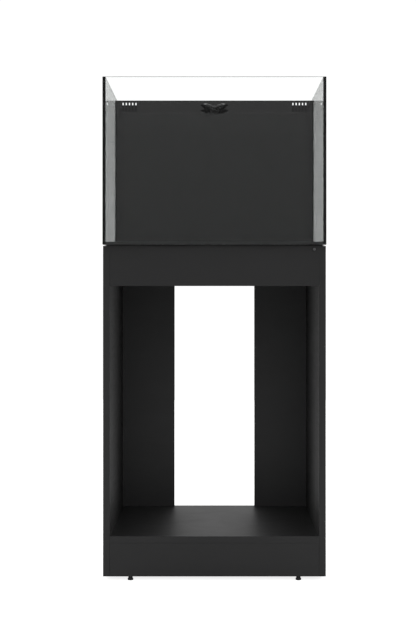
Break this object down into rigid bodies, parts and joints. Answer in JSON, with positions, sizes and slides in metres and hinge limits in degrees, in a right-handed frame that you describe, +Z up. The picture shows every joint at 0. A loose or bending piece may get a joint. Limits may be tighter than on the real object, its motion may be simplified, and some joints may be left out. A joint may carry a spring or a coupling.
{
  "type": "aquarium on stand",
  "caption": "Rimless glass aquarium with a rear filter chamber, comb overflows and a twin return nozzle, on an open black cabinet stand with levelling feet.",
  "frame": {"origin": "on the floor under the middle of the whole object's footprint", "axes": "+Z up, -Y is the front with the open side of the cabinet and the clear front pane, +X to the right seen from the front"},
  "size_m": [0.6, 0.55, 1.354],
  "materials": {
    "clear_glass": "polished clear float glass, 8 mm",
    "black_backed_glass": "glass painted black on its outer face",
    "black_silicone": "cured silicone, satin",
    "black_acrylic": "cast acrylic, polished",
    "basket_plastic": "black acrylic, satin",
    "filter_foam": "open-cell foam",
    "ceramic_media": "porous fired ceramic",
    "fitting_plastic": "moulded black plastic, fine texture",
    "nozzle_plastic": "moulded black plastic, semi-gloss",
    "gasket_rubber": "matt rubber",
    "tube_vinyl": "smoked flexible vinyl",
    "clamp_plastic": "black nylon",
    "pump_plastic": "moulded charcoal plastic",
    "rotor_plastic": "dark blue-grey moulded plastic",
    "shaft_ceramic": "polished white ceramic",
    "cup_rubber": "soft black rubber",
    "black_laminate": "board with fine matt black laminate",
    "dowel_beech": "beech",
    "cam_zinc": "die-cast zinc",
    "foam_mat": "closed-cell foam",
    "plated_steel": "zinc-plated steel",
    "black_steel": "black-plated steel",
    "glide_nylon": "black nylon",
    "latch_grey": "grey moulded plastic",
    "latch_black": "black moulded plastic"
  },
  "bodies": {
    "stand": {"front_pane": "clear_glass", "left_pane": "clear_glass", "right_pane": "clear_glass", "bottom_pane": "clear_glass", "back_pane": "black_backed_glass", "front_silicone": "black_silicone", "rear_silicone": "black_silicone", "base_silicone": "black_silicone", "partition_silicone": "black_silicone", "partition": "black_acrylic", "left_divider": "black_acrylic", "right_divider": "black_acrylic", "bulkhead": "fitting_plastic", "bulkhead_gasket": "gasket_rubber", "bulkhead_nut": "fitting_plastic", "return_elbow": "fitting_plastic", "return_tube": "tube_vinyl", "tube_clamps": "clamp_plastic", "pump_housing": "pump_plastic", "pump_cord_gland": "gasket_rubber", "pump_intake_cover": "pump_plastic", "pump_shaft": "shaft_ceramic", "pump_suction_cups": "cup_rubber", "left_side_panel": "black_laminate", "right_side_panel": "black_laminate", "left_back_strip": "black_laminate", "right_back_strip": "black_laminate", "top_board": "black_laminate", "bottom_board": "black_laminate", "front_rail": "black_laminate", "front_plinth": "black_laminate", "rear_plinth": "black_laminate", "carcass_dowels": "dowel_beech", "cam_fittings": "cam_zinc", "levelling_mat": "foam_mat", "foot_inserts": "plated_steel", "latch_sleeve": "latch_black", "latch_spring": "plated_steel"},
    "manifold": {"y_manifold": "nozzle_plastic"},
    "left_link": {"left_ball_link": "nozzle_plastic"},
    "right_link": {"right_ball_link": "nozzle_plastic"},
    "left_nozzle": {"left_fan_nozzle": "nozzle_plastic"},
    "right_nozzle": {"right_fan_nozzle": "nozzle_plastic"},
    "impeller": {"pump_impeller": "rotor_plastic"},
    "left_basket": {"left_media_basket": "basket_plastic", "left_ceramic_blocks": "ceramic_media"},
    "right_basket": {"right_media_basket": "basket_plastic", "right_ceramic_blocks": "ceramic_media"},
    "left_sponge": {"left_filter_sponge": "filter_foam"},
    "right_sponge": {"right_filter_sponge": "filter_foam"},
    "plunger": {"latch_plunger": "latch_grey"},
    "front_left_pad": {"front_left_foot_pad": "glide_nylon"},
    "front_left_stem": {"front_left_foot_stem": "black_steel"},
    "front_right_pad": {"front_right_foot_pad": "glide_nylon"},
    "front_right_stem": {"front_right_foot_stem": "black_steel"},
    "rear_left_pad": {"rear_left_foot_pad": "glide_nylon"},
    "rear_left_stem": {"rear_left_foot_stem": "black_steel"},
    "rear_right_pad": {"rear_right_foot_pad": "glide_nylon"},
    "rear_right_stem": {"rear_right_foot_stem": "black_steel"}
  },
  "joints": [
    {"name": "manifold_turn", "type": "hinge", "parent": "stand", "child": "manifold", "pos_m": [0, 0.058, 1.315], "axis": [0, -1, 0], "range_deg": [-30, 30]},
    {"name": "left_link_swing", "type": "hinge", "parent": "manifold", "child": "left_link", "pos_m": [-0.01406, 0.04394, 1.31709], "axis": [0.0739, 0.0739, 0.9945], "range_deg": [-20, 20]},
    {"name": "left_nozzle_tilt", "type": "hinge", "parent": "left_link", "child": "left_nozzle", "pos_m": [-0.02356, 0.03444, 1.3185], "axis": [0.7071, -0.7071, 0], "range_deg": [-20, 20]},
    {"name": "right_link_swing", "type": "hinge", "parent": "manifold", "child": "right_link", "pos_m": [0.01406, 0.04394, 1.31709], "axis": [-0.0739, 0.0739, 0.9945], "range_deg": [-20, 20]},
    {"name": "right_nozzle_tilt", "type": "hinge", "parent": "right_link", "child": "right_nozzle", "pos_m": [0.02356, 0.03444, 1.3185], "axis": [0.7071, 0.7071, 0], "range_deg": [-20, 20]},
    {"name": "impeller_spin", "type": "hinge", "parent": "stand", "child": "impeller", "pos_m": [0, 0.13, 0.954], "axis": [0, 1, 0], "continuous": true},
    {"name": "left_basket_lift", "type": "slide", "parent": "stand", "child": "left_basket", "axis": [0, 0, 1], "range_m": [0, 0.45]},
    {"name": "left_sponge_lift", "type": "slide", "parent": "left_basket", "child": "left_sponge", "axis": [0, 0, 1], "range_m": [0, 0.1]},
    {"name": "right_basket_lift", "type": "slide", "parent": "stand", "child": "right_basket", "axis": [0, 0, 1], "range_m": [0, 0.45]},
    {"name": "right_sponge_lift", "type": "slide", "parent": "right_basket", "child": "right_sponge", "axis": [0, 0, 1], "range_m": [0, 0.1]},
    {"name": "front_left_foot_extend", "type": "slide", "parent": "stand", "child": "front_left_pad", "axis": [0, 0, -1], "range_m": [0, 0.012]},
    {"name": "front_left_stem_turn", "type": "hinge", "parent": "front_left_pad", "child": "front_left_stem", "pos_m": [-0.2265, -0.248, 0.008], "axis": [0, 0, -1], "range_deg": [0, 4325]},
    {"name": "front_right_foot_extend", "type": "slide", "parent": "stand", "child": "front_right_pad", "axis": [0, 0, -1], "range_m": [0, 0.012]},
    {"name": "front_right_stem_turn", "type": "hinge", "parent": "front_right_pad", "child": "front_right_stem", "pos_m": [0.2265, -0.248, 0.008], "axis": [0, 0, -1], "range_deg": [0, 4325]},
    {"name": "rear_left_foot_extend", "type": "slide", "parent": "stand", "child": "rear_left_pad", "axis": [0, 0, -1], "range_m": [0, 0.012]},
    {"name": "rear_left_stem_turn", "type": "hinge", "parent": "rear_left_pad", "child": "rear_left_stem", "pos_m": [-0.2265, 0.266, 0.008], "axis": [0, 0, -1], "range_deg": [0, 4325]},
    {"name": "rear_right_foot_extend", "type": "slide", "parent": "stand", "child": "rear_right_pad", "axis": [0, 0, -1], "range_m": [0, 0.012]},
    {"name": "rear_right_stem_turn", "type": "hinge", "parent": "rear_right_pad", "child": "rear_right_stem", "pos_m": [0.2265, 0.266, 0.008], "axis": [0, 0, -1], "range_deg": [0, 4325]},
    {"name": "latch_press", "type": "slide", "parent": "stand", "child": "plunger", "axis": [0, 1, 0], "range_m": [0, 0.0035], "stiffness_N_per_m": 300, "springref_m": -0.004, "deforming": ["latch_spring"]}
  ],
  "couplings": [
    {"joint": "front_left_stem_turn", "follows": "front_left_foot_extend", "rad_per_m": 6283.2},
    {"joint": "front_right_stem_turn", "follows": "front_right_foot_extend", "rad_per_m": 6283.2},
    {"joint": "rear_left_stem_turn", "follows": "rear_left_foot_extend", "rad_per_m": 6283.2},
    {"joint": "rear_right_stem_turn", "follows": "rear_right_foot_extend", "rad_per_m": 6283.2}
  ]
}
